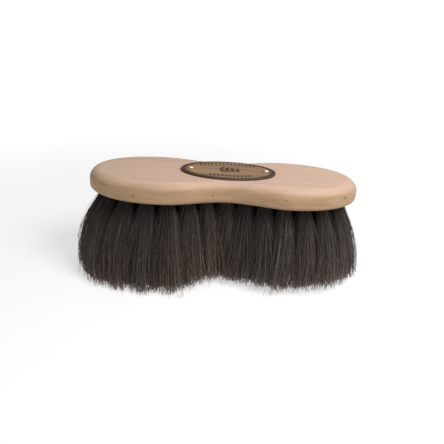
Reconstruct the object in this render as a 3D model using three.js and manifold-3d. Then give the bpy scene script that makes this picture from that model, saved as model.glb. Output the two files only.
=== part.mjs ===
// A waisted grooming brush, in millimetres, +Z up. It stands on the trimmed ends of its hair, with its
// length along X. The origin is under the middle of the block, in the plane of the trimmed ends.
import * as THREE from "three";
import { mergeVertices } from "three/addons/utils/BufferGeometryUtils.js";
import Module from "manifold-3d";

const wasm = await Module();
wasm.setup();

// Block: one piece of wood with a waist, a rounded top edge and a flatter chamfer round its underside.
const blockLength = 205;
const blockWidth = 73; // across each lobe
const waistWidth = 54; // across the middle
const lobeAt = 48; // from the middle to the widest part of a lobe
const endFullness = 2.12; // 2 makes each end half an ellipse, and more makes it squarer
const blockThickness = 17;
const topRounding = { inset: 7.6, height: 7.6 };
const undersideRounding = { inset: 8, height: 4.6 };
const roundingFullness = 1.85;

// Hair: tufts folded over a flat wire anchor, each driven into a blind hole.
const hairLength = 66; // free length, from the underside to the trimmed ends
const holeDepth = 10;
const holeRadius = 3.3;
const rootRadius = 3;
const edgeRingInset = 12.5; // from the block's edge to the outer ring of holes
const edgeRingTufts = 28;
const middleRowTufts = 12;
const middleRowPitch = 14.2;
const flankTuftsPerQuarter = 4;
const spreadAlong = 1.17; // how far the trimmed ends stand apart, against the roots
const spreadAcross = 1.44;
const spreadFullness = 2.1; // above 1, a tuft spreads early and hangs straighter below
const cellMargin = 7; // from an outer tuft's middle to the hair's edge, at the trimmed ends
const tuftGap = 0.8;
const halvingLimit = 1e-4; // where the search for the hair's edge stops

// Anchor: a short flat wire across the bottom of each hole, which bites into the wood at both ends.
const anchor = { length: 8.8, thickness: 1, height: 1.6 };

// Badge: an oval plate on top, held by two round-headed nails.
const badgeLength = 72.6;
const badgeWidth = 40.6;
const badgeThickness = 1.6;
const badgeBevel = 0.5;
const badgeShift = 1.5; // it sits a little to one side of the block's middle
const nailSpacing = 57.8;
const nailHead = { radius: 2.1, height: 1.1 };
const nailShank = { radius: 0.75, length: 7 };
const nailHoleRadius = 1.05;

const seat = 0.15; // gap between pieces that rest on each other
const clearance = 0.3; // gap round a piece in its hole
const blockSteps = 72; // points round the block
const ovalSteps = 40; // segments round the badge
const tuftSides = 10;

const undersideAt = hairLength;
const topAt = undersideAt + blockThickness;
const badgeAt = topAt + seat;
const badgeTopAt = badgeAt + badgeThickness;

const materials = {
  wood: new THREE.MeshStandardMaterial({ color: 0xd2ac8b, roughness: 0.55, metalness: 0 }),
  badge: new THREE.MeshStandardMaterial({ color: 0x8c6a48, roughness: 0.5, metalness: 0 }),
  brass: new THREE.MeshStandardMaterial({ color: 0xd9b45f, roughness: 0.25, metalness: 1 }),
  hair: new THREE.MeshStandardMaterial({ color: 0x33291f, roughness: 0.7, metalness: 0 }),
};

// The waisted outline: half an ellipse at each end, joined by a smooth dip to the waist.
class WaistedOutline extends THREE.Curve {
  constructor(halfLength, halfWidth, halfWaist) {
    super();
    Object.assign(this, { halfLength, halfWidth, halfWaist });
    this.arcLengthDivisions = 720;
  }

  halfWidthAt(x) {
    const along = Math.min(Math.abs(x), this.halfLength);
    if (along < lobeAt) {
      const rise = (1 - Math.cos((Math.PI * along) / lobeAt)) / 2;
      return this.halfWaist + (this.halfWidth - this.halfWaist) * rise;
    }
    const beyond = (along - lobeAt) / (this.halfLength - lobeAt);
    return this.halfWidth * (1 - beyond ** endFullness) ** (1 / endFullness);
  }

  getPoint(t) {
    const angle = 2 * Math.PI * t;
    const x = this.halfLength * Math.cos(angle);
    return new THREE.Vector2(x, Math.sign(Math.sin(angle)) * this.halfWidthAt(x));
  }

  // The same outline drawn in by a margin all round.
  inset(margin) {
    return new WaistedOutline(this.halfLength - margin, this.halfWidth - margin, this.halfWaist - margin);
  }
}

const blockOutline = new WaistedOutline(blockLength / 2, blockWidth / 2, waistWidth / 2);
const edgeRing = blockOutline.inset(edgeRingInset);
const hairOutline = new WaistedOutline(
  edgeRing.halfLength * spreadAlong + cellMargin,
  edgeRing.halfWidth * spreadAcross + cellMargin,
  edgeRing.halfWaist * spreadAcross + cellMargin,
);

// A closed skin over level rings of points, lowest first, each running anticlockwise seen from above.
function loft(rings) {
  const count = rings[0].length;
  const positions = rings.flatMap((ring) => ring.flatMap((point) => point.toArray()));
  const middle = (ring) => ring.reduce((sum, p) => sum.add(p), new THREE.Vector3()).divideScalar(count);
  const bottomMiddle = rings.length * count;
  const topMiddle = bottomMiddle + 1;
  positions.push(...middle(rings[0]).toArray(), ...middle(rings.at(-1)).toArray());
  const faces = [];
  for (let i = 0; i < count; i++) {
    const next = (i + 1) % count;
    faces.push(bottomMiddle, next, i);
    for (let r = 0; r < rings.length - 1; r++) {
      const low = r * count;
      const high = low + count;
      faces.push(low + i, low + next, high + next, low + i, high + next, high + i);
    }
    const last = (rings.length - 1) * count;
    faces.push(topMiddle, last + i, last + next);
  }
  const geometry = new THREE.BufferGeometry();
  geometry.setAttribute("position", new THREE.Float32BufferAttribute(positions, 3));
  geometry.setIndex(faces);
  return geometry;
}

function solid(geometry) {
  const bare = geometry.clone();
  bare.deleteAttribute("normal");
  bare.deleteAttribute("uv");
  const merged = mergeVertices(bare, 1e-4);
  return new wasm.Manifold(
    new wasm.Mesh({
      numProp: 3,
      vertProperties: new Float32Array(merged.attributes.position.array),
      triVerts: new Uint32Array(merged.index.array),
    }),
  );
}

function geometryOf(body) {
  const mesh = body.getMesh();
  const geometry = new THREE.BufferGeometry();
  geometry.setAttribute("position", new THREE.Float32BufferAttribute(mesh.vertProperties, 3));
  geometry.setIndex(new THREE.BufferAttribute(mesh.triVerts, 1));
  geometry.computeVertexNormals();
  return geometry;
}

// An upright round bar or hole from one height to another.
function uprightCylinder(radius, from, to, x, y, sides) {
  const geometry = new THREE.CylinderGeometry(radius, radius, to - from, sides);
  geometry.rotateX(Math.PI / 2);
  geometry.translate(x, y, (from + to) / 2);
  return geometry;
}

// Where each tuft is rooted: a ring round the edge, a row down the middle, and short rows in the lobes.
function tuftRoots() {
  const roots = edgeRing.getSpacedPoints(edgeRingTufts).slice(0, edgeRingTufts);
  for (let i = 0; i < middleRowTufts; i++) {
    roots.push(new THREE.Vector2((i - (middleRowTufts - 1) / 2) * middleRowPitch, 0));
  }
  for (const end of [-1, 1]) {
    for (const side of [-1, 1]) {
      for (let i = 0; i < flankTuftsPerQuarter; i++) {
        const x = (i + 2) * middleRowPitch;
        roots.push(new THREE.Vector2(end * x, (side * edgeRing.halfWidthAt(x)) / 2));
      }
    }
  }
  return roots;
}

const roots = tuftRoots();
const tips = roots.map((root) => new THREE.Vector2(root.x * spreadAlong, root.y * spreadAcross));

// How far a tuft's end reaches one way: half way to each neighbour, and no further than the hair's edge.
function reach(tip, direction) {
  let distance = blockWidth;
  for (const other of tips) {
    const away = other.clone().sub(tip);
    const towards = away.dot(direction);
    if (towards > 0) {
      distance = Math.min(distance, (away.lengthSq() - tuftGap * away.length()) / (2 * towards));
    }
  }
  const inside = (far) => {
    const point = tip.clone().addScaledVector(direction, far);
    return Math.abs(point.x) < hairOutline.halfLength && Math.abs(point.y) < hairOutline.halfWidthAt(point.x);
  };
  if (inside(distance)) return distance;
  let low = 0;
  let high = distance;
  while (high - low > halvingLimit) {
    const half = (low + high) / 2;
    if (inside(half)) low = half;
    else high = half;
  }
  return low;
}

// One tuft with its anchor: round in its hole, spreading below it to its own cell of the trimmed face.
function tuft(root, tip) {
  const directions = Array.from({ length: tuftSides }, (_, i) => {
    const angle = (2 * Math.PI * (i + 0.5)) / tuftSides;
    return new THREE.Vector2(Math.cos(angle), Math.sin(angle));
  });
  const reaches = directions.map((direction) => reach(tip, direction));
  const ring = (z, spread) => {
    const middle = root.clone().lerp(tip, spread);
    return directions.map((direction, i) => {
      const radius = THREE.MathUtils.lerp(rootRadius, reaches[i], spread);
      return new THREE.Vector3(middle.x + radius * direction.x, middle.y + radius * direction.y, z);
    });
  };
  const rings = [0, 0.35, 0.62, 0.84].map((height) => ring(hairLength * height, 1 - height ** spreadFullness));
  rings.push(ring(undersideAt, 0), ring(undersideAt + holeDepth - clearance, 0));
  const bar = new THREE.BoxGeometry(anchor.thickness, anchor.length, anchor.height);
  bar.translate(root.x, root.y, undersideAt + holeDepth - clearance - anchor.height / 2 - clearance);
  return geometryOf(solid(loft(rings)).add(solid(bar)));
}

// The hole that a tuft is driven into, with the slot that its anchor cuts in the wood.
function tuftHole(root) {
  const hole = uprightCylinder(
    holeRadius, undersideAt - 1, undersideAt + holeDepth, root.x, root.y, tuftSides);
  const slotHeight = anchor.height + 3 * clearance;
  const slot = new THREE.BoxGeometry(
    anchor.thickness + 2 * clearance, anchor.length + 2 * clearance, slotHeight);
  slot.translate(root.x, root.y, undersideAt + holeDepth - slotHeight / 2);
  return solid(hole).add(solid(slot));
}

function nailPlaces() {
  return [badgeShift - nailSpacing / 2, badgeShift + nailSpacing / 2];
}

function block() {
  const ring = (inset, z) => {
    const outline = blockOutline.inset(inset);
    return Array.from({ length: blockSteps }, (_, i) => {
      const point = outline.getPoint(i / blockSteps);
      return new THREE.Vector3(point.x, point.y, z);
    });
  };
  // Follows a rounding from its flat face, at turn 0, to the side, at turn 1.
  const rounded = (rounding, face, inward, turn) => {
    const angle = (turn * Math.PI) / 2;
    const inset = rounding.inset * (1 - Math.sin(angle) ** (2 / roundingFullness));
    return ring(inset, face + inward * rounding.height * (1 - Math.cos(angle) ** (2 / roundingFullness)));
  };
  const underside = [0, 0.3, 0.6, 1].map((turn) => rounded(undersideRounding, undersideAt, 1, turn));
  const top = [1, 0.75, 0.5, 0.25, 0].map((turn) => rounded(topRounding, topAt, -1, turn));
  let body = solid(loft([...underside, ...top]));
  for (const root of roots) body = body.subtract(tuftHole(root));
  for (const x of nailPlaces()) {
    const bottom = badgeTopAt - nailShank.length - clearance;
    body = body.subtract(solid(uprightCylinder(nailHoleRadius, bottom, topAt + 1, x, 0, tuftSides)));
  }
  return geometryOf(body);
}

function badge() {
  const oval = new THREE.Shape();
  oval.absellipse(0, 0, badgeLength / 2 - badgeBevel, badgeWidth / 2 - badgeBevel, 0, 2 * Math.PI);
  const geometry = new THREE.ExtrudeGeometry(oval, {
    depth: badgeThickness - 2 * badgeBevel,
    bevelSize: badgeBevel,
    bevelThickness: badgeBevel,
    bevelSegments: 2,
    curveSegments: ovalSteps,
  });
  geometry.translate(badgeShift, 0, badgeAt + badgeBevel);
  let body = solid(geometry);
  for (const x of nailPlaces()) {
    body = body.subtract(solid(uprightCylinder(nailHoleRadius, topAt - 1, badgeTopAt + 1, x, 0, tuftSides)));
  }
  return geometryOf(body);
}

// A round-headed nail: its axis is Z, and the underside of its head is at z = 0.
function nail() {
  const profile = [
    new THREE.Vector2(0, -nailShank.length),
    new THREE.Vector2(nailShank.radius, -nailShank.length + 2 * nailShank.radius),
    new THREE.Vector2(nailShank.radius, 0),
    new THREE.Vector2(nailHead.radius, 0),
  ];
  for (const turn of [0.3, 0.6, 0.85, 1]) {
    const angle = (turn * Math.PI) / 2;
    profile.push(new THREE.Vector2(
      turn === 1 ? 0 : nailHead.radius * Math.cos(angle),
      nailHead.height * Math.sin(angle),
    ));
  }
  const geometry = new THREE.LatheGeometry(profile, 20);
  geometry.rotateX(Math.PI / 2);
  return geometry;
}

function named(name, geometry, material) {
  const mesh = new THREE.Mesh(geometry, material);
  mesh.name = name;
  return mesh;
}

const brush = new THREE.Group();
brush.add(named("block", block(), materials.wood));
brush.add(named("badge", badge(), materials.badge));
["badge_nail_left", "badge_nail_right"].forEach((name, i) => {
  const mesh = named(name, nail(), materials.brass);
  mesh.position.set(nailPlaces()[i], 0, badgeTopAt + seat);
  brush.add(mesh);
});
const tufts = new THREE.Group();
roots.forEach((root, i) => {
  const name = "tuft_" + String(i + 1).padStart(2, "0");
  tufts.add(named(name, tuft(root, tips[i]), materials.hair));
});
brush.add(tufts);

export default brush;
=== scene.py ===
# %% [markdown]
# # A waisted grooming brush
#
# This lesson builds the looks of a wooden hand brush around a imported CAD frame. The block is one piece of
# pale wood with a waist. Under it stand tufts of long soft hair, each folded over a wire and driven into a
# blind hole. A small oval leather badge is nailed on top with two brass nails.
#
# The frame comes first. The places of all pieces and the main sizes are read from it, so each new piece lands
# where the CAD says.

# %% Load the frame
import math

import bmesh
import bpy
from mathutils import Matrix, Vector


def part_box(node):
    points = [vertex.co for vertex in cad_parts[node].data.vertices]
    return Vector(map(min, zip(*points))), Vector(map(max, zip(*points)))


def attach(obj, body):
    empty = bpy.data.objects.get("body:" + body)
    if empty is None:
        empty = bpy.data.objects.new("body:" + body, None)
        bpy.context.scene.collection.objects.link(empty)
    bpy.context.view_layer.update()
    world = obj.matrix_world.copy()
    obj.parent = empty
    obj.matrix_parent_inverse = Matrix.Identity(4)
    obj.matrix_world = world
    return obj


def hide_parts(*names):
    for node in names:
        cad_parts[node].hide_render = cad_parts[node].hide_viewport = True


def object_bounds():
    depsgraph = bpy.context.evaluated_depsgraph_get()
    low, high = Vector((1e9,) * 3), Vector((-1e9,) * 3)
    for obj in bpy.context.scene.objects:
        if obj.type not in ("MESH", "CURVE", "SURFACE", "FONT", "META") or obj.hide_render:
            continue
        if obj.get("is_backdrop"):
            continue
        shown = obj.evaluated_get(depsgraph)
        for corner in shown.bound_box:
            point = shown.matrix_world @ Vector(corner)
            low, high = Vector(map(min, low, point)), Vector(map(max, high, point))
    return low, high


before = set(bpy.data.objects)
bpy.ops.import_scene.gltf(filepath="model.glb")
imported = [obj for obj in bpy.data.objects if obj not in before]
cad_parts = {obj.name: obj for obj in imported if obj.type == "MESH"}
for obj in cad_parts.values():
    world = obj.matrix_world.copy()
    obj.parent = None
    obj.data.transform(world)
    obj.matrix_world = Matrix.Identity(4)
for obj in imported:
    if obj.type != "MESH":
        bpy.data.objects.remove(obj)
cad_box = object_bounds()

MM = 0.001
scene = bpy.context.scene
tuft_names = sorted(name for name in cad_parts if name.startswith("tuft_"))
print(f"{len(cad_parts)} CAD nodes, {len(tuft_names)} of them tufts")

# %% [markdown]
# ## Reading the sizes
#
# The waist isn't a corner of any box, so it is measured on the block's own points near the middle. The
# fullness of the ends, the roundings and the holes can't be read so simply, and their few values repeat the
# ones that the CAD was made with.

# %% Measure the frame
block_low, block_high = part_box("block")
badge_low, badge_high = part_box("badge")
underside = block_low.z
top = block_high.z
half_length = block_high.x
half_width = block_high.y
block_points = [vertex.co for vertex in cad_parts["block"].data.vertices]
half_waist = max(p.y for p in block_points if abs(p.x) < 3 * MM)

HOLE_DEPTH = 10 * MM
hole_top = underside + HOLE_DEPTH
LOBE_AT = 48 * MM  # from the middle to the widest part of a lobe
END_FULLNESS = 2.12  # 2 makes each end half an ellipse
TOP_ROUNDING = (7.6 * MM, 7.6 * MM)  # inset and height
UNDERSIDE_ROUNDING = (8 * MM, 4.6 * MM)
ROUNDING_FULLNESS = 1.85
HOLE_RADIUS = 3.3 * MM
NAIL_HOLE_RADIUS = 1.05 * MM
print(f"block {2 * half_length / MM:.1f} x {2 * half_width / MM:.1f} mm, waist {2 * half_waist / MM:.1f} mm")


def root_of(name):
    """The middle of a tuft's hole, in the plane of the underside."""
    inside = [v.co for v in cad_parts[name].data.vertices if v.co.z > underside + MM]
    x = (min(p.x for p in inside) + max(p.x for p in inside)) / 2
    y = (min(p.y for p in inside) + max(p.y for p in inside)) / 2
    return Vector((x, y, underside))


roots = {name: root_of(name) for name in tuft_names}
print("first root", [round(value / MM, 1) for value in roots[tuft_names[0]]])

# %% [markdown]
# ## Small helpers for node trees
#
# Shader trees and Geometry Nodes trees are both made of nodes with named sockets. One helper adds a node,
# sets its options, and fills each input with either a plain value or another node's output. A tree then
# reads from top to bottom in the order that it works.

# %% Node helpers
def add(tree, kind, options=None, inputs=None):
    """Adds a node. A key of inputs is a socket's name or number, and a value is a number or an output."""
    node = tree.nodes.new(kind)
    for key, value in (options or {}).items():
        setattr(node, key, value)
    for key, value in (inputs or {}).items():
        if isinstance(value, bpy.types.NodeSocket):
            tree.links.new(value, node.inputs[key])
        else:
            node.inputs[key].default_value = value
    return node


def math_node(tree, operation, *values):
    return add(tree, "ShaderNodeMath", {"operation": operation}, dict(enumerate(values))).outputs[0]


def vector_node(tree, operation, *values):
    return add(tree, "ShaderNodeVectorMath", {"operation": operation}, dict(enumerate(values))).outputs[0]


def scaled(tree, vector, factor):
    return add(tree, "ShaderNodeVectorMath", {"operation": "SCALE"}, {0: vector, "Scale": factor}).outputs[0]


def length_of(tree, vector):
    return add(tree, "ShaderNodeVectorMath", {"operation": "LENGTH"}, {0: vector}).outputs["Value"]


def separate(tree, vector):
    """A vector's three numbers, by number or by name."""
    return add(tree, "ShaderNodeSeparateXYZ", None, {0: vector}).outputs


def combine(tree, x, y, z=0.0):
    return add(tree, "ShaderNodeCombineXYZ", None, {0: x, 1: y, 2: z}).outputs[0]


def map_range(tree, value, given, wanted, interpolation="LINEAR"):
    """Turns the range of numbers given into the range wanted."""
    node = add(tree, "ShaderNodeMapRange", {"interpolation_type": interpolation}, {0: value})
    for name, number in zip(("From Min", "From Max", "To Min", "To Max"), (*given, *wanted)):
        node.inputs[name].default_value = number
    return node.outputs[0]


def mix_floats(tree, factor, a, b):
    return add(tree, "ShaderNodeMix", {"data_type": "FLOAT"}, {0: factor, 2: a, 3: b}).outputs[0]


def mix_vectors(tree, factor, a, b):
    return add(tree, "ShaderNodeMix", {"data_type": "VECTOR"}, {0: factor, 4: a, 5: b}).outputs[1]


def mix_colours(tree, factor, a, b, blend="MIX"):
    options = {"data_type": "RGBA", "blend_type": blend}
    return add(tree, "ShaderNodeMix", options, {0: factor, 6: a, 7: b}).outputs[2]


def ramp(tree, factor, *stops):
    """A colour ramp. Each stop is a position and a grey value or a colour."""
    node = add(tree, "ShaderNodeValToRGB", None, {0: factor})
    elements = node.color_ramp.elements
    while len(elements) < len(stops):
        elements.new(0.5)
    for element, (position, value) in zip(elements, stops):
        element.position = position
        element.color = value if isinstance(value, tuple) else (value, value, value, 1)
    return node.outputs[0]


def stretched_noise(tree, coordinates, scale, detail=3.0):
    """Noise with a different scale along each axis, so that it makes streaks."""
    mapped = add(tree, "ShaderNodeMapping", None, {"Vector": coordinates, "Scale": scale}).outputs[0]
    values = {"Vector": mapped, "Scale": 1.0, "Detail": detail}
    return add(tree, "ShaderNodeTexNoise", None, values).outputs[0]


def new_material(name):
    """A material with its tree, its Principled shader and its Object coordinates."""
    material = bpy.data.materials.new(name)
    material.use_nodes = True
    tree = material.node_tree
    shader = tree.nodes["Principled BSDF"]
    coordinates = add(tree, "ShaderNodeTexCoord").outputs["Object"]
    return material, tree, shader, coordinates


print("node helpers ready")

# %% [markdown]
# ## Wood
#
# Beech is pale and a little pink on top. The rounded side is painted darker and tanner than the top, as
# painted shade. Its grain runs along the block. Every pattern below reads Object coordinates, so the
# grain runs through the block as through a real plank, and turns round the edge with it.
#
# The yearly growth shows as faint long bands. A Wave texture set to rings gives them: its middle is moved
# away from the block, as the heart of the tree is, and a slow noise bends the rings a little.

# %% Yearly rings
RINGS_MOVED = (0.3, 0.055, -0.15)
RING_BEND = 0.006


def wander_vector(tree, value):
    """The same number on each axis, centred on nothing."""
    centred = math_node(tree, "SUBTRACT", value, 0.5)
    return combine(tree, centred, centred, centred)


def yearly_rings(tree, coordinates):
    moved = add(tree, "ShaderNodeMapping", None, {"Vector": coordinates, "Location": RINGS_MOVED}).outputs[0]
    wander = stretched_noise(tree, coordinates, (7.0, 40.0, 40.0), 2.0)
    bent = vector_node(tree, "ADD", moved, scaled(tree, wander_vector(tree, wander), RING_BEND))
    options = {"wave_type": "RINGS", "rings_direction": "X", "wave_profile": "SAW"}
    values = {"Vector": bent, "Scale": 42.0, "Distortion": 0.8, "Detail": 2.0}
    return add(tree, "ShaderNodeTexWave", options, values).outputs["Fac"]


print("yearly rings bend by up to", RING_BEND / 2 / MM, "mm")

# %% [markdown]
# ## Flecks and knots
#
# Beech is known by its flecks, short dark dashes a few millimetres long. A Voronoi texture stretched along
# the block has one dash in the middle of each cell, and a limit on the cell's own random number leaves most
# of the cells empty.
#
# A pin knot is rarer, a small round speck on the long sides. Its Voronoi cells are flat and read only the
# length and the height, so that a knot stays round. On the back the cells are moved along, because otherwise
# the back would show the same knots as the front.

# %% Flecks and knots
FLECK_CELLS = (230.0, 1300.0, 1300.0)
FLECK_LIMIT = 0.62
KNOT_CELLS = 105.0
KNOT_LIMIT = 0.68
BACK_SHIFT = 0.037
SQUARE_ENOUGH = 0.6  # how squarely a face looks to the front or the back, to show a knot


def beech_flecks(tree, coordinates):
    places = add(tree, "ShaderNodeMapping", None, {"Vector": coordinates, "Scale": FLECK_CELLS}).outputs[0]
    cells = add(tree, "ShaderNodeTexVoronoi", None, {"Vector": places, "Scale": 1.0}).outputs
    fleck = ramp(tree, cells["Distance"], (0.10, 1.0), (0.30, 0.0))
    return math_node(tree, "MULTIPLY", fleck, math_node(tree, "GREATER_THAN", cells["Color"], FLECK_LIMIT))


def pin_knots(tree, coordinates, normal):
    place = separate(tree, coordinates)
    back = math_node(tree, "GREATER_THAN", place[1], 0.0)
    along_side = combine(tree, math_node(tree, "MULTIPLY_ADD", back, BACK_SHIFT, place[0]), place[2])
    values = {"Vector": along_side, "Scale": KNOT_CELLS}
    cells = add(tree, "ShaderNodeTexVoronoi", {"voronoi_dimensions": "2D"}, values).outputs
    knot = ramp(tree, cells["Distance"], (0.055, 1.0), (0.095, 0.0))
    knot = math_node(tree, "MULTIPLY", knot, math_node(tree, "GREATER_THAN", cells["Color"], KNOT_LIMIT))
    sidelong = math_node(tree, "GREATER_THAN", math_node(tree, "ABSOLUTE", normal["Y"]), SQUARE_ENOUGH)
    return math_node(tree, "MULTIPLY", knot, sidelong)


print("cells for knots are", round(1 / KNOT_CELLS / MM, 1), "mm wide")

# %% [markdown]
# ## The wood's material
#
# The colour starts from the way a face is turned: upwards it is pale and pink, and sideways it is painted
# darker and tan, as painted shade. The patterns are laid over it one by one, each of them weakly. Multiplying
# by a number near 1 keeps the hue and changes only how light the wood is. The fibres and flecks make a
# shallow bump too, so the wood looks sanded and waxed, not lacquered.

# %% Wood material
def shaded(tree, colour, shade):
    """A colour made lighter or darker by a number."""
    return mix_colours(tree, 1.0, colour, shade, "MULTIPLY")


def make_wood():
    material, tree, shader, coordinates = new_material("sanded_beech")
    normal = separate(tree, add(tree, "ShaderNodeNewGeometry").outputs["Normal"])
    # flat is 1 on the top and 0 on the sides: it sets the painted shade of the sides and roundings, and keeps
    # the side streaks off the top
    flat = ramp(tree, normal["Z"], (0.40, 0.0), (1.0, 1.0))
    bands = stretched_noise(tree, coordinates, (9.0, 190.0, 190.0), 3.0)
    fibres = stretched_noise(tree, coordinates, (70.0, 2100.0, 2100.0), 2.0)
    side_streaks = stretched_noise(tree, coordinates, (55.0, 120.0, 420.0), 3.0)
    rings = math_node(tree, "MULTIPLY", yearly_rings(tree, coordinates), 0.07)
    flecks = beech_flecks(tree, coordinates)
    knots = pin_knots(tree, coordinates, normal)

    # painted shade: the sides and roundings are darker and tanner than the top
    colour = mix_colours(tree, flat, (0.380, 0.240, 0.138, 1), (0.600, 0.420, 0.320, 1))
    colour = mix_colours(tree, rings, colour, (0.52, 0.335, 0.215, 1))
    streaks = ramp(tree, side_streaks, (0.32, 0.87), (0.66, 1.08))
    colour = shaded(tree, colour, mix_floats(tree, flat, streaks, 1.0))
    colour = shaded(tree, colour, ramp(tree, bands, (0.30, 0.95), (0.70, 1.035)))
    colour = shaded(tree, colour, ramp(tree, fibres, (0.30, 0.94), (0.70, 1.03)))
    colour = mix_colours(tree, math_node(tree, "MULTIPLY", flecks, 0.30), colour, (0.26, 0.13, 0.065, 1))
    colour = mix_colours(tree, math_node(tree, "MULTIPLY", knots, 0.7), colour, (0.17, 0.075, 0.035, 1))
    tree.links.new(colour, shader.inputs["Base Color"])

    rough = ramp(tree, bands, (0.25, 0.46), (0.75, 0.60))
    tree.links.new(rough, shader.inputs["Roughness"])
    shader.inputs["Specular IOR Level"].default_value = 0.3
    height = math_node(tree, "SUBTRACT", fibres, flecks)
    bump = add(tree, "ShaderNodeBump", None, {"Strength": 0.25, "Distance": 0.05 * MM, "Height": height})
    tree.links.new(bump.outputs[0], shader.inputs["Normal"])
    return material


wood = make_wood()
print("wood nodes", len(wood.node_tree.nodes))

# %% [markdown]
# ## The block
#
# The outline is a little fuller than half an ellipse at each end, and a smooth dip to the waist joins the
# two. The body is that outline drawn in and moved up step by step, a loft: first the flat rounding of the
# underside, then the side, then the rounded top edge. The CAD block has the same shape in few flat facets.
# This one has enough rings to catch a clean highlight, so it replaces the CAD node.

# %% Loft the block
BLOCK_STEPS = 288


def half_width_at(x, length, width, waist):
    along = min(abs(x), length)
    if along < LOBE_AT:
        return waist + (width - waist) * (1 - math.cos(math.pi * along / LOBE_AT)) / 2
    beyond = (along - LOBE_AT) / (length - LOBE_AT)
    return width * max(0.0, 1 - beyond**END_FULLNESS) ** (1 / END_FULLNESS)


def outline_ring(inset, z):
    """The block's outline, drawn in by inset, as level points at height z."""
    length, width, waist = half_length - inset, half_width - inset, half_waist - inset
    ring = []
    for step in range(BLOCK_STEPS):
        angle = 2 * math.pi * (step + 0.5) / BLOCK_STEPS
        x = length * math.cos(angle)
        ring.append(Vector((x, math.copysign(half_width_at(x, length, width, waist), math.sin(angle)), z)))
    return ring


def rounded(rounding, face, inward, turn):
    """A ring on a rounding: turn 0 is its flat face and turn 1 is the side."""
    inset, height = rounding
    angle = turn * math.pi / 2
    drawn_in = inset * (1 - math.sin(angle) ** (2 / ROUNDING_FULLNESS))
    drop = height * (1 - math.cos(angle) ** (2 / ROUNDING_FULLNESS)) if turn < 1 else height
    return outline_ring(drawn_in, face + inward * drop)


def add_piece(name, data):
    piece = bpy.data.objects.new(name, data)
    scene.collection.objects.link(piece)
    return piece


def finished_piece(name, mesh):
    """A piece from a bmesh, which is freed."""
    data = bpy.data.meshes.new(name)
    mesh.to_mesh(data)
    mesh.free()
    return add_piece(name, data)


def loft(name, rings):
    """A closed mesh over level rings, lowest first."""
    mesh = bmesh.new()
    rows = [[mesh.verts.new(point) for point in ring] for ring in rings]
    count = len(rings[0])
    for low, high in zip(rows, rows[1:]):
        for i in range(count):
            j = (i + 1) % count
            mesh.faces.new((low[i], low[j], high[j], high[i]))
    mesh.faces.new(list(reversed(rows[0])))
    mesh.faces.new(rows[-1])
    return finished_piece(name, mesh)


FLAT_MARGIN = 0.5 * MM  # a narrow flat ring inside each rounding keeps the flat faces' shading level
UNDERSIDE_STEPS = 8
TOP_STEPS = 14
under_turns = [step / UNDERSIDE_STEPS for step in range(UNDERSIDE_STEPS + 1)]
top_turns = [step / TOP_STEPS for step in range(TOP_STEPS, -1, -1)]
block_rings = [outline_ring(UNDERSIDE_ROUNDING[0] + FLAT_MARGIN, underside)]
block_rings += [rounded(UNDERSIDE_ROUNDING, underside, 1, turn) for turn in under_turns]
block_rings += [rounded(TOP_ROUNDING, top, -1, turn) for turn in top_turns]
block_rings += [outline_ring(TOP_ROUNDING[0] + FLAT_MARGIN, top)]
block = loft("wooden_block", block_rings)
print("block faces", len(block.data.polygons))

# %% [markdown]
# ## The holes
#
# Each tuft has a blind hole, and its wire cuts a slot across the hole's bottom. The nails have two holes in
# the top. A Boolean modifier cuts with any closed mesh, so all the holes are one cutter and all the slots
# another. Applying the modifier by `new_from_object` leaves a plain mesh.

# %% Cut the holes
WIRE = Vector((1.0, 8.8, 1.6)) * MM  # thickness, length and height of an anchor
HOLE_GAP = 0.3 * MM
HOLE_SIDES = 20
SHARP_EDGE = math.radians(40)
NAILS = ("badge_nail_left", "badge_nail_right")
nail_places = [tuple((low + high) / 2 for low, high in zip(*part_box(name))) for name in NAILS]
nail_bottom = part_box("badge_nail_left")[0].z


def cutter(name, shapes):
    """One mesh of boxes and upright cylinders. A shape is a middle, a size and a number of sides."""
    mesh = bmesh.new()
    for middle, size, sides in shapes:
        place = Matrix.Translation(middle) @ Matrix.Diagonal((*size, 1))
        if sides:
            size = {"radius1": 0.5, "radius2": 0.5, "depth": 1}
            bmesh.ops.create_cone(mesh, cap_ends=True, segments=sides, matrix=place, **size)
        else:
            bmesh.ops.create_cube(mesh, size=1, matrix=place)
    return finished_piece(name, mesh)


def upright(x, y, low, high, radius):
    """The shape of an upright hole, for the cutter."""
    return Vector((x, y, (low + high) / 2)), Vector((2 * radius, 2 * radius, high - low)), HOLE_SIDES


def plain_copy(piece):
    """The evaluated mesh of a piece, as new mesh data."""
    evaluated = piece.evaluated_get(bpy.context.evaluated_depsgraph_get())
    return bpy.data.meshes.new_from_object(evaluated)


def cut(piece, tool):
    modifier = piece.modifiers.new("cut", "BOOLEAN")
    modifier.operation = "DIFFERENCE"
    modifier.solver = "EXACT"
    modifier.object = tool
    data = plain_copy(piece)
    piece.modifiers.remove(modifier)
    piece.data = data
    bpy.data.objects.remove(tool)


holes = [upright(r.x, r.y, underside - MM, hole_top, HOLE_RADIUS) for r in roots.values()]
holes += [upright(p[0], p[1], nail_bottom - HOLE_GAP, top + MM, NAIL_HOLE_RADIUS) for p in nail_places]
slot_size = WIRE + Vector((2 * HOLE_GAP, 2 * HOLE_GAP, 3 * HOLE_GAP))
slots = [(Vector((r.x, r.y, hole_top - slot_size.z / 2)), slot_size, 0) for r in roots.values()]
cut(block, cutter("hole_cutter", holes))
cut(block, cutter("slot_cutter", slots))
block.data.materials.append(wood)
block.data.shade_smooth()
block.data.set_sharp_from_angle(angle=SHARP_EDGE)
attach(block, "root")
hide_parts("block")
print("block with holes", len(block.data.polygons), "faces")

# %% [markdown]
# ## The wire anchors
#
# An anchor is a short piece of flat steel wire lying across the bottom of the hole. Its ends bite into the
# wood, and the bundle of hair hangs folded over it. Fifty-odd of the same small thing is a job for instances:
# the tree puts one bar on each root and makes them real at the end.

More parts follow.
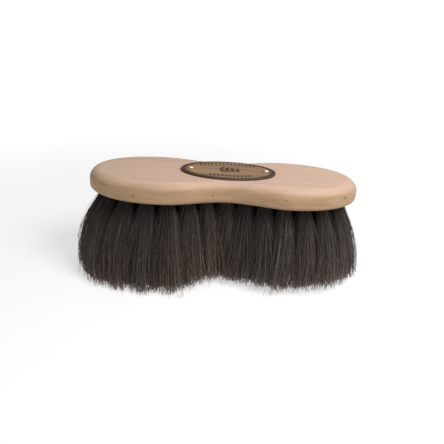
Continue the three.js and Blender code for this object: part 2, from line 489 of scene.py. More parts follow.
# %% Anchor tree
def new_tree(name, sockets):
    """A Geometry Nodes tree with named inputs, and its input and output nodes."""
    tree = bpy.data.node_groups.new(name, "GeometryNodeTree")
    tree.interface.new_socket(name="Geometry", in_out="OUTPUT", socket_type="NodeSocketGeometry")
    for label, kind in sockets:
        tree.interface.new_socket(name=label, in_out="INPUT", socket_type="NodeSocket" + kind)
    return tree, tree.nodes.new("NodeGroupInput").outputs, tree.nodes.new("NodeGroupOutput")


def run_tree(piece, tree, values):
    """Runs a tree on a piece once, with inputs by name, and keeps the plain mesh."""
    modifier = piece.modifiers.new(tree.name, "NODES")
    modifier.node_group = tree
    sockets = {s.name: s.identifier for s in tree.interface.items_tree if s.in_out == "INPUT"}
    for label, value in values.items():
        modifier[sockets[label]] = value
    data = plain_copy(piece)
    piece.modifiers.remove(modifier)
    piece.data = data
    return piece


def make_anchor_tree():
    sockets = [("Roots", "Geometry"), ("Wire", "Vector"), ("Wire metal", "Material")]
    tree, given, result = new_tree("wire_anchors", sockets)
    bar = add(tree, "GeometryNodeMeshCube", None, {"Size": given["Wire"]}).outputs["Mesh"]
    placed = add(tree, "GeometryNodeInstanceOnPoints", None, {"Points": given["Roots"], "Instance": bar})
    real = add(tree, "GeometryNodeRealizeInstances", None, {0: placed.outputs[0]})
    values = {0: real.outputs[0], "Material": given["Wire metal"]}
    tree.links.new(add(tree, "GeometryNodeSetMaterial", None, values).outputs[0], result.inputs[0])
    return tree


def points_piece(name, points):
    data = bpy.data.meshes.new(name)
    data.from_pydata([tuple(p) for p in points], [], [])
    return add_piece(name, data)


def make_metal(name, colour, roughness, scratch_scale):
    """Bare metal with fine scratches in its polish."""
    material, tree, shader, coordinates = new_material(name)
    scratches = stretched_noise(tree, coordinates, scratch_scale, 4.0)
    bright = tuple(min(1.0, 1.08 * part) for part in colour)
    tree.links.new(mix_colours(tree, scratches, (*colour, 1), (*bright, 1)), shader.inputs["Base Color"])
    rough = ramp(tree, scratches, (0.3, roughness * 0.8), (0.7, roughness * 1.3))
    tree.links.new(rough, shader.inputs["Roughness"])
    shader.inputs["Metallic"].default_value = 1.0
    return material


steel = make_metal("drawn_steel", (0.50, 0.49, 0.47), 0.35, (900.0, 120.0, 900.0))
wire_height = hole_top - 2 * HOLE_GAP - WIRE.z / 2
anchors = points_piece("wire_anchors", [(r.x, r.y, wire_height) for r in roots.values()])
run_tree(anchors, make_anchor_tree(), {"Wire": WIRE, "Wire metal": steel})
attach(anchors, "root")
print("anchors", len(anchors.data.polygons), "faces")

# %% [markdown]
# ## Hair colour
#
# The hair is dark brown, lighter towards the cut ends and a little grey and purple there, where it is dusty.
# Near the root it is painted darker still, as painted shade under the block. No two hairs are alike: most
# are dark, and a few are much lighter, which is what draws the fine streaks down the side of the brush. The
# tree that grows the hair leaves three numbers on it, and the material only has to read them. `along` goes
# from 0 at the root to 1 at the end, `shade` is how light the hair is there, and `strand` is shared by
# hairs that lie together and makes them warmer or cooler.

# %% Hair material
def attribute(tree, name):
    return add(tree, "ShaderNodeAttribute", {"attribute_name": name}).outputs["Fac"]


def make_hair_material():
    material, tree, shader, _ = new_material("dark_horsehair")
    shade, along, strand = (attribute(tree, name) for name in ("shade", "along", "strand"))
    root_colour = ramp(
        tree,
        shade,
        (0.0, (0.036, 0.031, 0.026, 1)),
        (0.55, (0.066, 0.055, 0.047, 1)),
        (0.74, (0.105, 0.084, 0.070, 1)),
        (1.0, (0.36, 0.29, 0.235, 1)),
    )
    tip_colour = ramp(
        tree,
        shade,
        (0.0, (0.080, 0.062, 0.053, 1)),
        (0.50, (0.130, 0.099, 0.084, 1)),
        (0.72, (0.184, 0.139, 0.117, 1)),
        (1.0, (0.58, 0.46, 0.37, 1)),
    )
    # towards the cut end the colour goes over from the root colour to the lighter tip colour
    towards_end = ramp(tree, along, (0.15, 0.0), (1.0, 1.0))
    colour = mix_colours(tree, towards_end, root_colour, tip_colour)
    # painted shade: the roots are darkened where the block and the crowded hairs keep the light off
    colour = shaded(tree, colour, ramp(tree, along, (0.05, 0.55), (0.32, 1.0)))  # crowded roots are painted darker, as painted shade under the block
    cool, plain, warm = (0.90, 0.99, 1.04, 1), (1, 1, 1, 1), (1.20, 0.99, 0.86, 1)
    colour = shaded(tree, colour, ramp(tree, strand, (0.0, cool), (0.6, plain), (1.0, warm)))
    dusty = ramp(tree, along, (0.86, 0.0), (1.0, 0.35))
    colour = mix_colours(tree, dusty, colour, (0.26, 0.20, 0.185, 1))
    tree.links.new(colour, shader.inputs["Base Color"])
    shader.inputs["Roughness"].default_value = 0.48
    shader.inputs["Specular IOR Level"].default_value = 0.35
    return material


hair_material = make_hair_material()
print("hair material nodes", len(hair_material.node_tree.nodes))

# %% [markdown]
# ## Growing a tuft
#
# A real tuft is a bundle of hair that fans out below its hole. The hairs cross those of the next tuft, a few
# strands lie right across the others, and the ends are trimmed only roughly. One tree grows any tuft, and
# these are its inputs. It gets the tuft's CAD mesh, its root and a seed, and numbers that say how the hair
# behaves.

# %% Hair inputs
HAIR_INPUTS = [("Tuft", "Geometry"), ("Root", "Vector"), ("Splay", "Vector"), ("Seed", "Int")]
HAIR_INPUTS += [("Hair", "Material")]
HAIR_NUMBERS = (
    "Hairs",
    "Underside",
    "Root radius",
    "Hair radius",
    "Depth in hole",
    "Fan start",
    "Draw in",
    "Scatter",
    "Side spread",
    "Lock size",
    "Lock shift",
    "Gather",
    "Strand size",
    "Strand shift",
    "Tousle",
    "Tousle size",
    "Wave",
    "Kink",
    "Uneven trim",
    "Ragged",
)
HAIR_INPUTS += [(name, "Float") for name in HAIR_NUMBERS]
HAIR_SEGMENTS = 6
HAIR_SIDES = 3
UPWARDS = (0.0, 0.0, 1.0)
LEVEL = (1.0, 1.0, 0.0)  # times a vector, this leaves its level part
HALF = (0.5, 0.5, 0.5)
print("inputs of the hair tree", len(HAIR_INPUTS))

# %% [markdown]
# ## Numbers that travel with the hair
#
# A named attribute keeps a number on each point until a later step, or the material, reads it. Here one
# helper stores a value and another reads it back. A flat Voronoi texture turns nearby ends into cells, and so
# gives neighbours something in common.

# %% Stored numbers
def stored(tree, geometry, name, value, kind="FLOAT"):
    options = {"data_type": kind, "domain": "POINT"}
    values = {"Geometry": geometry, "Name": name, "Value": value}
    return add(tree, "GeometryNodeStoreNamedAttribute", options, values).outputs[0]


def read(tree, name, kind="FLOAT"):
    return add(tree, "GeometryNodeInputNamedAttribute", {"data_type": kind}, {"Name": name}).outputs[0]


def random_number(tree, low, high, seed):
    values = {2: low, 3: high, "Seed": seed}
    return add(tree, "FunctionNodeRandomValue", {"data_type": "FLOAT"}, values).outputs[1]


def statistic(tree, geometry, value, kind, result):
    values = {"Geometry": geometry, 2: value}
    return add(tree, "GeometryNodeAttributeStatistic", {"data_type": kind}, values).outputs[result]


def cell_numbers(tree, places, size):
    """The cells of a flat Voronoi pattern: each cell's middle, and three random numbers as a colour."""
    cells = scaled(tree, places, math_node(tree, "DIVIDE", 1.0, size))
    pattern = add(tree, "ShaderNodeTexVoronoi", {"voronoi_dimensions": "2D"}, {"Vector": cells, "Scale": 1.0})
    return scaled(tree, pattern.outputs["Position"], size), pattern.outputs["Color"]


def centred_noise(tree, vector, detail):
    """A noise with three numbers, each of them as often below zero as above."""
    values = {"Vector": vector, "Scale": 1.0, "Detail": detail}
    return vector_node(tree, "SUBTRACT", add(tree, "ShaderNodeTexNoise", None, values).outputs["Color"], HALF)


print("helpers for stored numbers ready")

# %% [markdown]
# ## Where the hairs end
#
# The CAD tuft is a plain solid that starts round in its hole and spreads to its own cell of the trimmed
# face. The tree scatters one point for each hair over that flat end. The same points, shrunk onto the hole,
# are where the hairs start.
#
# Each point then moves by a random amount, more sideways than outwards, so that the tufts mingle and their
# cells don't show.

# %% Scatter the ends
CHANCES = {"chance": (0, 1), "bow": (1.15, 1.95), "stray": (0, 1), "cut": (0, 1), "turn": (0, 2 * math.pi)}
SEED_STEP = 101.0  # keeps the random numbers of one tuft apart from each other
FACING_DOWN = -0.9


def flat_end_points(tree, given):
    """As many points on the tuft's flat end as it has hairs."""
    normal = separate(tree, add(tree, "GeometryNodeInputNormal").outputs[0])
    place = separate(tree, add(tree, "GeometryNodeInputPosition").outputs[0])
    down = math_node(tree, "LESS_THAN", normal[2], FACING_DOWN)
    low = math_node(tree, "LESS_THAN", place[2], MM)
    flat_end = math_node(tree, "MULTIPLY", down, low)
    face_area = add(tree, "GeometryNodeInputMeshFaceArea").outputs[0]
    options = {"data_type": "FLOAT", "domain": "FACE"}
    values = {"Geometry": given["Tuft"], "Selection": flat_end, 2: face_area}
    area = add(tree, "GeometryNodeAttributeStatistic", options, values).outputs["Sum"]
    density = math_node(tree, "DIVIDE", given["Hairs"], area)
    values = {"Mesh": given["Tuft"], "Selection": flat_end, "Density": density, "Seed": given["Seed"]}
    return add(tree, "GeometryNodeDistributePointsOnFaces", None, values).outputs["Points"]


def own_numbers(tree, given, points):
    """Stores a few random numbers on each hair."""
    for number, (name, (least, most)) in enumerate(CHANCES.items(), 1):
        seed = math_node(tree, "ADD", given["Seed"], SEED_STEP * number)
        points = stored(tree, points, name, random_number(tree, least, most, seed))
    return points


def scatter_ends(tree, given):
    """The hairs' points with their numbers, the middle of the flat end, and the way along the edge."""
    points = flat_end_points(tree, given)
    end = add(tree, "GeometryNodeInputPosition").outputs[0]
    middle = statistic(tree, points, end, "FLOAT_VECTOR", "Mean")
    offset = vector_node(tree, "SUBTRACT", end, middle)
    widest = statistic(tree, points, length_of(tree, offset), "FLOAT", "Max")
    start_offset = scaled(tree, offset, math_node(tree, "DIVIDE", given["Root radius"], widest))
    points = stored(tree, points, "start_offset", start_offset, "FLOAT_VECTOR")
    points = own_numbers(tree, given, points)

    lean = vector_node(tree, "SUBTRACT", middle, given["Root"])
    outwards = vector_node(tree, "NORMALIZE", vector_node(tree, "MULTIPLY", lean, LEVEL))
    sideways = vector_node(tree, "CROSS_PRODUCT", UPWARDS, outwards)
    turn = read(tree, "turn")
    far = math_node(tree, "MULTIPLY", given["Scatter"], math_node(tree, "SQRT", read(tree, "cut")))
    wide = math_node(tree, "MULTIPLY", far, given["Side spread"])
    across = scaled(tree, sideways, math_node(tree, "MULTIPLY", wide, math_node(tree, "COSINE", turn)))
    out = scaled(tree, outwards, math_node(tree, "MULTIPLY", far, math_node(tree, "SINE", turn)))
    drawn_in = scaled(tree, end, given["Draw in"])
    moved = vector_node(tree, "ADD", drawn_in, vector_node(tree, "ADD", across, out))
    return stored(tree, points, "end", moved, "FLOAT_VECTOR"), middle, sideways


print("random numbers on each hair:", ", ".join(CHANCES))

# %% [markdown]
# ## Strands
#
# Brushed hair clings together in fine strands. Ends that share a small Voronoi cell share most of their shade
# too, and about a quarter of the strands, which are also the lighter ones, slant across their neighbours.
# These are the light lines that run over the side of the brush at an angle.

# %% Strands
CROSSING_SHARE = 0.24
OWN_SHADE = 0.4  # how much of a hair's shade is its own and not its strand's


def mark_strands(tree, given, points, sideways):
    _, strand = cell_numbers(tree, read(tree, "end", "FLOAT_VECTOR"), given["Strand size"])
    number = separate(tree, strand)
    shade = mix_floats(tree, OWN_SHADE, number[0], read(tree, "chance"))
    points = stored(tree, points, "shade", shade)
    points = stored(tree, points, "strand", number[1])
    crosses = math_node(tree, "GREATER_THAN", number[0], 1 - CROSSING_SHARE)
    slant = math_node(tree, "MULTIPLY", crosses, math_node(tree, "SUBTRACT", number[1], 0.5))
    return stored(tree, points, "strand_shift", scaled(tree, sideways, slant), "FLOAT_VECTOR")


print("share of strands that cross", CROSSING_SHARE)

# %% [markdown]
# ## How low the hairs hang
#
# The cut ends aren't level: they are lowest under the left lobe. A colour ramp is a handy way to draw such a
# line, with the brush's length along it and the height as its grey value. Locks and single hairs then differ
# a little more.

# %% Trim
# From the left end of the block to the right, as shares of the uneven trim.
TRIM_PROFILE = (
    (0.0, 0.0),
    (0.24, 0.0),
    (0.33, 0.12),
    (0.38, 0.62),
    (0.44, 0.68),
    (0.50, 0.50),
    (0.62, 0.62),
    (0.78, 0.72),
    (0.92, 0.95),
    (1.0, 1.0),
)
HAIR_RAGGED = 2.5  # a hair's own raggedness beside that of its lock


def end_height(tree, given, end, lock_number):
    """How far above the trimmed level a hair ends: uneven along the brush, and ragged from hair to hair."""
    along = map_range(tree, separate(tree, end)[0], (-half_length, half_length), (0.0, 1.0))
    uneven = math_node(tree, "MULTIPLY", ramp(tree, along, *TRIM_PROFILE), given["Uneven trim"])
    own = math_node(tree, "MULTIPLY", read(tree, "cut"), HAIR_RAGGED)
    return math_node(tree, "MULTIPLY_ADD", math_node(tree, "ADD", lock_number, own), given["Ragged"], uneven)


print("points on the trim line", len(TRIM_PROFILE))

# %% [markdown]
# ## How a hair travels
#
# A hair goes down from its start to its end, and how far down it is, from 0 at the wood to 1 at the end,
# decides the rest. Hair that is crowded at the root fans out early and hangs more nearly straight below, so
# the way sideways is a power of the depth, with a pace of its own for each hair.
#
# Three moves make it soft: a slow wave that no other hair has, a tousle that neighbours share, and small
# quick kinks. They grow with the depth, because the root is held and the end is free.

# %% Path of a hair
PACE = (0.6, 0.7)  # a hair fans at the fan start times 0.7 to 1.3
FAN_EASE = 1.2  # above 1, a hair hangs straighter towards its end
STRAY_POWER, STRAY_WAVE = 14.0, 1.3  # a few hairs have a larger wave, up to 2.3 times as large
SLOW_BENDS, QUICK_BENDS = 2.2, 7.0
NOISE_SPREAD = (91.0, 57.0)  # reads each hair's wave far from any other's


def own_wave(tree, factor, bends):
    """A wave along a hair that no other hair has. More bends make it quicker."""
    chance = math_node(tree, "MULTIPLY", read(tree, "chance"), NOISE_SPREAD[0])
    stray = math_node(tree, "MULTIPLY", read(tree, "stray"), NOISE_SPREAD[1])
    return centred_noise(tree, combine(tree, chance, math_node(tree, "MULTIPLY", factor, bends), stray), 1.0)


def hair_moves(tree, given, end, factor, depth):
    """The slow wave, the shared tousle and the quick kinks."""
    wildness = math_node(tree, "POWER", read(tree, "stray"), STRAY_POWER)
    wildness = math_node(tree, "MULTIPLY_ADD", wildness, STRAY_WAVE, 1.0)
    wave = math_node(tree, "MULTIPLY", math_node(tree, "MULTIPLY", given["Wave"], wildness), depth)
    nearby = scaled(tree, end, math_node(tree, "DIVIDE", 1.0, given["Tousle size"]))
    tousle = math_node(tree, "MULTIPLY", given["Tousle"], depth)
    kink = math_node(tree, "MULTIPLY", given["Kink"], depth)
    return (
        scaled(tree, own_wave(tree, factor, SLOW_BENDS), wave),
        scaled(tree, centred_noise(tree, nearby, 2.0), tousle),
        scaled(tree, own_wave(tree, factor, QUICK_BENDS), kink),
    )


def hair_aim(tree, given, end, lock_middle, lock_colour, depth):
    """Where a hair is heading: its own end, drawn to the middle of its lock and pushed aside."""
    gathering = math_node(tree, "MULTIPLY", given["Gather"], math_node(tree, "POWER", depth, 2.0))
    lock_shift = math_node(tree, "MULTIPLY", 2.0, given["Lock shift"])
    lock_shift = scaled(tree, vector_node(tree, "SUBTRACT", lock_colour, HALF), lock_shift)
    strand_shift = scaled(tree, read(tree, "strand_shift", "FLOAT_VECTOR"), given["Strand shift"])
    shift = scaled(tree, vector_node(tree, "ADD", lock_shift, strand_shift), depth)
    return vector_node(tree, "ADD", mix_vectors(tree, gathering, end, lock_middle), shift)


def hair_path(tree, given, middle):
    """Where a point of a hair goes, from how far along the hair it is."""
    factor = add(tree, "GeometryNodeSplineParameter").outputs["Factor"]
    end = read(tree, "end", "FLOAT_VECTOR")
    lock_middle, lock_colour = cell_numbers(tree, end, given["Lock size"])
    start_height = math_node(tree, "ADD", given["Underside"], given["Depth in hole"])
    low_height = end_height(tree, given, end, separate(tree, lock_colour)[2])
    height = mix_floats(tree, factor, start_height, low_height)
    depth = math_node(tree, "SUBTRACT", 1.0, math_node(tree, "DIVIDE", height, given["Underside"]))
    depth = add(tree, "ShaderNodeClamp", None, {0: depth}).outputs[0]

    left = math_node(tree, "SUBTRACT", 1.0, depth)
    drift = math_node(tree, "SUBTRACT", 1.0, math_node(tree, "POWER", left, read(tree, "bow")))
    pace = math_node(tree, "MULTIPLY_ADD", read(tree, "chance"), *PACE)
    start = math_node(tree, "MULTIPLY", given["Fan start"], pace)
    fan = math_node(tree, "SUBTRACT", 1.0, math_node(tree, "POWER", depth, start))
    fan = math_node(tree, "SUBTRACT", 1.0, math_node(tree, "POWER", fan, FAN_EASE))
    aim = vector_node(tree, "SUBTRACT", hair_aim(tree, given, end, lock_middle, lock_colour, depth), middle)
    offset = mix_vectors(tree, fan, read(tree, "start_offset", "FLOAT_VECTOR"), aim)
    path = vector_node(tree, "ADD", mix_vectors(tree, drift, given["Root"], middle), offset)
    swell = math_node(tree, "SINE", math_node(tree, "MULTIPLY", depth, math.pi))
    path = vector_node(tree, "ADD", path, scaled(tree, given["Splay"], swell))
    for move in hair_moves(tree, given, end, factor, depth):
        path = vector_node(tree, "ADD", path, move)
    parts = separate(tree, path)
    return combine(tree, parts[0], parts[1], height)


print("a hair fans at", [round(PACE[1] + PACE[0] * share, 2) for share in (0, 1)], "times the fan start")

# %% [markdown]
# ## The hair tree
#
# A short straight line is instanced on every point and made real, its points are moved onto the hair's path,
# and Curve to Mesh gives it a skin that thins towards the end. Three sides are enough for a hair, because
# there are so many.

# %% Hair tree
FADES = 6.0  # how often a strand's shade comes and goes from root to end
STRAND_SPREAD = 83.0
END_THICKNESS = 0.55


def faded_shade(tree, factor):
    """A strand's shade, which comes and goes along it."""
    strand = math_node(tree, "MULTIPLY", read(tree, "strand"), STRAND_SPREAD)
    where = combine(tree, strand, math_node(tree, "MULTIPLY", factor, FADES))
    values = {"Vector": where, "Scale": 1.0, "Detail": 1.0}
    fading = add(tree, "ShaderNodeTexNoise", None, values).outputs["Fac"]
    fading = map_range(tree, fading, (0.35, 0.65), (0.5, 1.1))
    return math_node(tree, "MULTIPLY", read(tree, "shade"), fading)


def make_hair_tree():
    tree, given, result = new_tree("hair_tuft", HAIR_INPUTS)
    points, middle, sideways = scatter_ends(tree, given)
    points = mark_strands(tree, given, points, sideways)
    line = add(tree, "GeometryNodeCurvePrimitiveLine", None, {"End": (0.0, 0.0, MM)}).outputs[0]
    values = {"Curve": line, "Count": HAIR_SEGMENTS + 1}
    line = add(tree, "GeometryNodeResampleCurve", None, values).outputs[0]
    hairs = add(tree, "GeometryNodeInstanceOnPoints", None, {"Points": points, "Instance": line}).outputs[0]
    hairs = add(tree, "GeometryNodeRealizeInstances", None, {0: hairs}).outputs[0]
    values = {"Geometry": hairs, "Position": hair_path(tree, given, middle)}
    hairs = add(tree, "GeometryNodeSetPosition", None, values).outputs[0]
    factor = add(tree, "GeometryNodeSplineParameter").outputs["Factor"]
    hairs = stored(tree, hairs, "along", factor)
    hairs = stored(tree, hairs, "shade", faded_shade(tree, factor))
    taper = mix_floats(tree, factor, 1.0, END_THICKNESS)
    hairs = add(tree, "GeometryNodeSetCurveRadius", None, {"Curve": hairs, "Radius": taper}).outputs[0]
    values = {"Resolution": HAIR_SIDES, "Radius": given["Hair radius"]}
    section = add(tree, "GeometryNodeCurvePrimitiveCircle", None, values).outputs[0]
    values = {"Curve": hairs, "Profile Curve": section, "Fill Caps": True}
    skin = add(tree, "GeometryNodeCurveToMesh", None, values).outputs[0]
    real = add(tree, "GeometryNodeRealizeInstances", None, {0: skin}).outputs[0]
    coloured = add(tree, "GeometryNodeSetMaterial", None, {0: real, "Material": given["Hair"]}).outputs[0]
    tree.links.new(coloured, result.inputs[0])
    return tree


hair_tree = make_hair_tree()
print("hair tree nodes", len(hair_tree.nodes))

# %% [markdown]
# ## All the tufts
#
# The tree runs once for each tuft, on a copy of that tuft's CAD mesh, with a seed of its own. Each tuft is
# its own piece, as it is on the bench. The tufts of the outer ring get twice as many hairs, because they are
# the ones that show, and those at the block's two ends bulge outwards a little half-way down.

# %% Grow the tufts
HAIR_VALUES = {
    "Underside": underside,
    "Root radius": 3.2 * MM,
    "Hair radius": 0.135 * MM,
    "Depth in hole": 3.0 * MM,
    "Fan start": 0.72,  # below 1, a tuft fans out as soon as it leaves its hole
    "Draw in": 0.98,  # makes up for the scatter, which pushes the outer hairs outwards
    "Scatter": 5.6 * MM,
    "Side spread": 2.3,  # times the scatter
    "Lock size": 3.5 * MM,
    "Lock shift": 0.8 * MM,
    "Gather": 0.08,
    "Strand size": 1.0 * MM,
    "Strand shift": 22.0 * MM,
    "Tousle": 12.0 * MM,
    "Tousle size": 16.0 * MM,
    "Wave": 8.5 * MM,
    "Kink": 1.6 * MM,
    "Uneven trim": 7.5 * MM,
    "Ragged": 0.4 * MM,
    "Hair": hair_material,
}
EDGE_TUFTS = 28  # the outer ring comes first in the names
EDGE_HAIRS = 1040.0
INNER_HAIRS = 520.0
SPLAYED_FROM = 70 * MM
SPLAY_LEFT, SPLAY_RIGHT, NO_SPLAY = (-4.2 * MM, 0.0, 0.0), (2.2 * MM, 0.0, 0.0), (0.0, 0.0, 0.0)


def splay_at(x):
    """How far a tuft bulges outwards, from its place along the block."""
    if abs(x) <= SPLAYED_FROM:
        return NO_SPLAY
    return SPLAY_LEFT if x < 0 else SPLAY_RIGHT


hair_faces = 0
for number, name in enumerate(tuft_names, 1):
    tuft = add_piece(f"hair_{name}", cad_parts[name].data.copy())
    hairs = EDGE_HAIRS if number <= EDGE_TUFTS else INNER_HAIRS
    own_values = {"Hairs": hairs, "Root": roots[name], "Splay": splay_at(roots[name].x), "Seed": number}
    run_tree(tuft, hair_tree, {**HAIR_VALUES, **own_values})
    tuft.data.shade_smooth()
    hair_faces += len(tuft.data.polygons)
    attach(tuft, "root")
    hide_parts(name)
print("hair faces", hair_faces)

# %% [markdown]
# ## The badge
#
# The badge is an oval of thick leather. Its face is smooth and streaked, and its edge is rounded over and
# burnished dark. An oval is a circle with two radii, so the plate is a loft of ovals: up the side, over the
# rounded rim, down a shallow step, and in across the face.

# %% Badge plate
BADGE_STEPS = 160
badge_middle = (badge_low + badge_high) / 2
badge_half = (badge_high - badge_low) / 2


def oval_ring(inset, z):
    length, width = badge_half.x - inset, badge_half.y - inset
    ring = []
    for step in range(BADGE_STEPS):
        angle = 2 * math.pi * step / BADGE_STEPS
        ring.append(Vector((badge_middle.x + length * math.cos(angle), width * math.sin(angle), z)))
    return ring


def make_badge_leather():
    material, tree, shader, coordinates = new_material("burnished_leather")
    centred = vector_node(tree, "SUBTRACT", coordinates, tuple(badge_middle))
    shares = vector_node(tree, "DIVIDE", centred, (badge_half.x, badge_half.y, 1.0))
    from_middle = length_of(tree, vector_node(tree, "MULTIPLY", shares, LEVEL))
    streaks = stretched_noise(tree, coordinates, (28.0, 420.0, 420.0), 4.0)
    blotches = stretched_noise(tree, coordinates, (60.0, 150.0, 150.0), 2.0)
    face = ramp(tree, streaks, (0.30, (0.15, 0.085, 0.042, 1)), (0.70, (0.40, 0.25, 0.13, 1)))
    face = mix_colours(tree, math_node(tree, "MULTIPLY", blotches, 0.5), face, (0.29, 0.17, 0.10, 1))
    rim = ramp(tree, from_middle, (0.86, 0.0), (0.915, 1.0))
    colour = mix_colours(tree, rim, face, (0.060, 0.030, 0.018, 1))
    tree.links.new(colour, shader.inputs["Base Color"])
    tree.links.new(ramp(tree, streaks, (0.3, 0.42), (0.7, 0.58)), shader.inputs["Roughness"])
    pores = add(tree, "ShaderNodeTexVoronoi", None, {"Vector": coordinates, "Scale": 1500.0})
    grain = pores.outputs["Distance"]
    bump = add(tree, "ShaderNodeBump", None, {"Strength": 0.2, "Distance": 0.06 * MM, "Height": grain})
    tree.links.new(bump.outputs[0], shader.inputs["Normal"])
    return material


EDGE_RADIUS = 0.45 * MM
EDGE_STEPS = 6
RIM_WIDTH = 2.1 * MM
RIM_STEP = 0.3 * MM  # half the width of the step from the rim down to the face
FACE_MARGIN = 0.8 * MM  # a narrow flat ring inside the step, as on the block
FACE_DROP = 0.22 * MM
badge_rings = [oval_ring(EDGE_RADIUS * 0.5, badge_low.z), oval_ring(0.0, badge_low.z + EDGE_RADIUS * 0.5)]
for step in range(EDGE_STEPS + 1):
    angle = step / EDGE_STEPS * math.pi / 2
    inset = EDGE_RADIUS * (1 - math.cos(angle))
    badge_rings.append(oval_ring(inset, badge_high.z - EDGE_RADIUS * (1 - math.sin(angle))))
step_down = ((-RIM_STEP, 0.0), (0.0, 0.5 * FACE_DROP), (RIM_STEP, FACE_DROP), (FACE_MARGIN, FACE_DROP))
badge_rings += [oval_ring(RIM_WIDTH + inset, badge_high.z - drop) for inset, drop in step_down]
badge = loft("badge_plate", badge_rings)
nail_hole_ends = (badge_low.z - MM, badge_high.z + MM)
nail_holes = [upright(p[0], p[1], *nail_hole_ends, NAIL_HOLE_RADIUS) for p in nail_places]
cut(badge, cutter("badge_cutter", nail_holes))
badge.data.materials.append(make_badge_leather())
badge.data.shade_smooth()
badge.data.set_sharp_from_angle(angle=SHARP_EDGE)
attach(badge, "root")
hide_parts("badge")
face_height = badge_high.z - FACE_DROP
print(f"badge {2 * badge_half.x / MM:.1f} x {2 * badge_half.y / MM:.1f} mm, {len(badge.data.polygons)} faces")

# %% [markdown]
# ## The badge's decoration
#
# A badge like this is burnt or stamped with a mark. This one has a plain sprig of leaves in the middle, and a
# row of small lozenges above and below it. A leaf and a lozenge are both the same flat shape with pointed
# ends, so one function draws them, as a thin dark inlay that stands just proud of the face.

# %% Sprig and lozenges
INLAY_HEIGHT = 0.12 * MM
LOZENGE = (4.2 * MM, 1.9 * MM)  # length and width
LOZENGE_LIFT = 0.68  # how far out a row stands, as a share of the badge
STEM = (19 * MM, 1.1 * MM)  # length and width
LEAF_PAIRS = 4
LEAF_WIDTH = 2.7 * MM
LEAF_TILT = math.radians(55)


def pointed_shape(mesh, middle, length, width, angle, steps=7):
    """A leaf: two arcs that meet in points, as a thin closed slab."""
    along = Vector((math.cos(angle), math.sin(angle), 0))
    across = Vector((-along.y, along.x, 0))
    low_height, high_height = face_height - INLAY_HEIGHT / 2, face_height + INLAY_HEIGHT
    edge = []
    for side in (1, -1):
        for step in range(steps):
            share = step / steps
            swell = math.sin(math.pi * share)
            edge.append(middle + along * side * length * (share - 0.5) + across * -side * width * 0.5 * swell)
    low = [mesh.verts.new((p.x, p.y, low_height)) for p in edge]
    high = [mesh.verts.new((p.x, p.y, high_height)) for p in edge]
    count = len(edge)
    for i in range(count):
        j = (i + 1) % count
        mesh.faces.new((low[i], low[j], high[j], high[i]))
    mesh.faces.new(list(reversed(low)))
    mesh.faces.new(high)


def inlay_piece(name, shapes, material):
    mesh = bmesh.new()
    for shape in shapes:
        pointed_shape(mesh, *shape)
    piece = finished_piece(name, mesh)
    piece.data.materials.append(material)
    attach(piece, "root")
    return piece


def make_burnt():
    material, tree, shader, coordinates = new_material("burnt_line")
    char = stretched_noise(tree, coordinates, (900.0, 900.0, 900.0), 3.0)
    colour = mix_colours(tree, char, (0.030, 0.016, 0.010, 1), (0.085, 0.050, 0.032, 1))
    tree.links.new(colour, shader.inputs["Base Color"])
    shader.inputs["Roughness"].default_value = 0.6
    return material


def row_of_lozenges(count, span, lift):
    """Lozenges along an arc that follows the badge's edge."""
    shapes = []
    for i in range(count):
        share = (i / (count - 1) - 0.5) * span
        x = badge_half.x * share
        y = lift * badge_half.y * math.sqrt(1 - share * share)
        slope = math.atan2(-lift * badge_half.y * share, badge_half.x * math.sqrt(1 - share * share))
        shapes.append((Vector((badge_middle.x + x, y, 0)), *LOZENGE, slope + math.pi / 2))
    return shapes


def sprig():
    """A stem with pairs of leaves, which get smaller towards its end."""
    middle = Vector((badge_middle.x, 0, 0))
    shapes = [(middle, *STEM, 0.0)]
    for pair in range(LEAF_PAIRS):
        x = (-7.0 + 4.1 * pair) * MM
        size = (7.6 - 0.9 * pair) * MM
        for side in (1, -1):
            leaf_middle = middle + Vector((x + size * 0.30, side * size * 0.45, 0))
            shapes.append((leaf_middle, size, LEAF_WIDTH, side * LEAF_TILT))
    return shapes


burnt = make_burnt()
inlay_piece("badge_sprig", sprig(), burnt)
inlay_piece("badge_lozenges_upper", row_of_lozenges(15, 1.16, LOZENGE_LIFT), burnt)
inlay_piece("badge_lozenges_lower", row_of_lozenges(11, 0.80, -LOZENGE_LIFT), burnt)
print("badge decoration stands", INLAY_HEIGHT / MM, "mm proud")

# %% [markdown]
# ## The nails
#
# Each nail is round about its own axis: a point, a thin shank and a low domed head. A Screw modifier or the
# Spin tool could turn the outline of half a nail. The loft does the same here, with a ring for each point of
# that outline.

# %% Nails
NAIL_STEPS = 40
DOME_STEPS = 12
HEAD_GAP = 0.15 * MM  # between the badge and the head
SHANK = 0.75 * MM
POINT = 0.05 * MM
HEAD_LIP = 0.12 * MM  # the head is upright this far up, and then domed
LIP_INSET = 0.96
NAIL_SHARP_EDGE = math.radians(50)


def turned(name, profile, x, y):
    """A turned piece. The profile runs from the bottom up, as radius and height."""
    rings = []
    for radius, z in profile:
        angles = [2 * math.pi * step / NAIL_STEPS for step in range(NAIL_STEPS)]
        rings.append([Vector((x + radius * math.cos(a), y + radius * math.sin(a), z)) for a in angles])
    return loft(name, rings)


